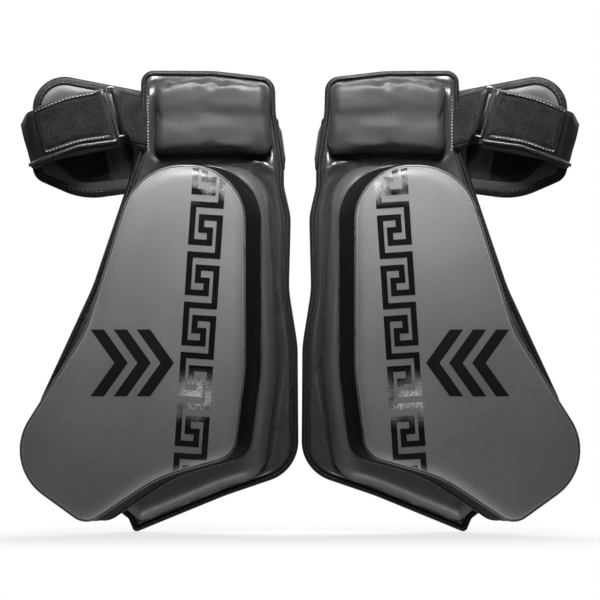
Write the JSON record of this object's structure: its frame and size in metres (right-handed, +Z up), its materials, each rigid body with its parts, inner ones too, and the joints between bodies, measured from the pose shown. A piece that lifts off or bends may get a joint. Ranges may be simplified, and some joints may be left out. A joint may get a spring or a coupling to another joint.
{
  "type": "kick shield pair",
  "caption": "Pair of padded thigh kick shields, each with a stepped strike block, flared foot, hip cushion and a ring-and-strap thigh cuff that opens.",
  "frame": {"origin": "middle of the pair, at the level of its lowest point, midway between its front and its back", "axes": "+Z up as worn, -Y out of the strike faces, +X towards the wearer's left shield"},
  "size_m": [0.616, 0.116, 0.5039],
  "materials": {
    "matte_leather": "matte charcoal synthetic leather with a faint grain",
    "gloss_leather": "semi-gloss black synthetic leather, soft wrinkles",
    "hip_leather": "semi-gloss black synthetic leather over a soft cushion",
    "lining_leather": "satin dark grey synthetic leather",
    "strap_leather": "brown-black strap leather",
    "binding_tape": "folded black edge binding with light stitches",
    "piping": "thin dark grey piping",
    "back_mesh": "black non-slip mesh cloth",
    "loop_fabric": "short-pile black loop fabric",
    "hook_tape": "black moulded hook tape",
    "gloss_print": "glossy black transfer film",
    "matte_print": "matte black transfer print",
    "dense_foam": "closed-cell foam, fine pores",
    "soft_foam": "open-cell foam",
    "ring_steel": "polished steel wire"
  },
  "bodies": {
    "right_shield": {"right_rear_pad": "back_mesh", "right_back_liner": "gloss_leather", "right_base_foam": "dense_foam", "right_base_cover": "gloss_leather", "right_base_binding": "binding_tape", "right_hip_foam": "soft_foam", "right_hip_cover": "hip_leather", "right_step_foam": "dense_foam", "right_step_cover": "gloss_leather", "right_strike_core": "dense_foam", "right_strike_soft_foam": "soft_foam", "right_strike_gusset": "gloss_leather", "right_strike_face": "matte_leather", "right_strike_piping": "piping", "right_key_print": "gloss_print", "right_emblem_print": "matte_print", "right_keeper_tab": "strap_leather", "right_tab_patch": "loop_fabric"},
    "right_cuff": {"right_wing_shell": "gloss_leather", "right_wing_foam": "soft_foam", "right_wing_lining": "lining_leather", "right_wing_binding": "binding_tape", "right_wing_loop_panel": "loop_fabric", "right_strap_body": "strap_leather", "right_strap_loop_patch": "loop_fabric"},
    "right_tail": {"right_strap_tail": "strap_leather", "right_tail_loop_face": "loop_fabric", "right_tail_hook_patch": "hook_tape"},
    "right_ring": {"right_ring": "ring_steel"},
    "left_shield": {"left_rear_pad": "back_mesh", "left_back_liner": "gloss_leather", "left_base_foam": "dense_foam", "left_base_cover": "gloss_leather", "left_base_binding": "binding_tape", "left_hip_foam": "soft_foam", "left_hip_cover": "hip_leather", "left_step_foam": "dense_foam", "left_step_cover": "gloss_leather", "left_strike_core": "dense_foam", "left_strike_soft_foam": "soft_foam", "left_strike_gusset": "gloss_leather", "left_strike_face": "matte_leather", "left_strike_piping": "piping", "left_key_print": "gloss_print", "left_emblem_print": "matte_print", "left_keeper_tab": "strap_leather", "left_tab_patch": "loop_fabric"},
    "left_cuff": {"left_wing_shell": "gloss_leather", "left_wing_foam": "soft_foam", "left_wing_lining": "lining_leather", "left_wing_binding": "binding_tape", "left_wing_loop_panel": "loop_fabric", "left_strap_body": "strap_leather", "left_strap_loop_patch": "loop_fabric"},
    "left_tail": {"left_strap_tail": "strap_leather", "left_tail_loop_face": "loop_fabric", "left_tail_hook_patch": "hook_tape"},
    "left_ring": {"left_ring": "ring_steel"}
  },
  "joints": [
    {"name": "right_cuff_open", "type": "hinge", "parent": "right_shield", "child": "right_cuff", "pos_m": [-0.0155, 0.0245, 0.43], "axis": [0, 0, -1], "range_deg": [0, 75]},
    {"name": "right_tail_peel", "type": "hinge", "parent": "right_cuff", "child": "right_tail", "pos_m": [-0.2104, 0.00605, 0.4557], "axis": [-0.2588, 0, 0.9659], "range_deg": [0, 100]},
    {"name": "right_ring_swivel", "type": "hinge", "parent": "right_shield", "child": "right_ring", "pos_m": [-0.19755, 0.00655, 0.4592], "axis": [0.2588, 0, -0.9659], "range_deg": [-10, 25]},
    {"name": "left_cuff_open", "type": "hinge", "parent": "left_shield", "child": "left_cuff", "pos_m": [0.0155, 0.0245, 0.43], "axis": [0, 0, 1], "range_deg": [0, 75]},
    {"name": "left_tail_peel", "type": "hinge", "parent": "left_cuff", "child": "left_tail", "pos_m": [0.2104, 0.00605, 0.4557], "axis": [-0.2588, 0, -0.9659], "range_deg": [0, 100]},
    {"name": "left_ring_swivel", "type": "hinge", "parent": "left_shield", "child": "left_ring", "pos_m": [0.19755, 0.00655, 0.4592], "axis": [0.2588, 0, 0.9659], "range_deg": [-10, 25]},
    {"name": "pair_spacing", "type": "slide", "parent": "right_shield", "child": "left_shield", "axis": [1, 0, 0], "range_m": [0, 0.15]}
  ]
}
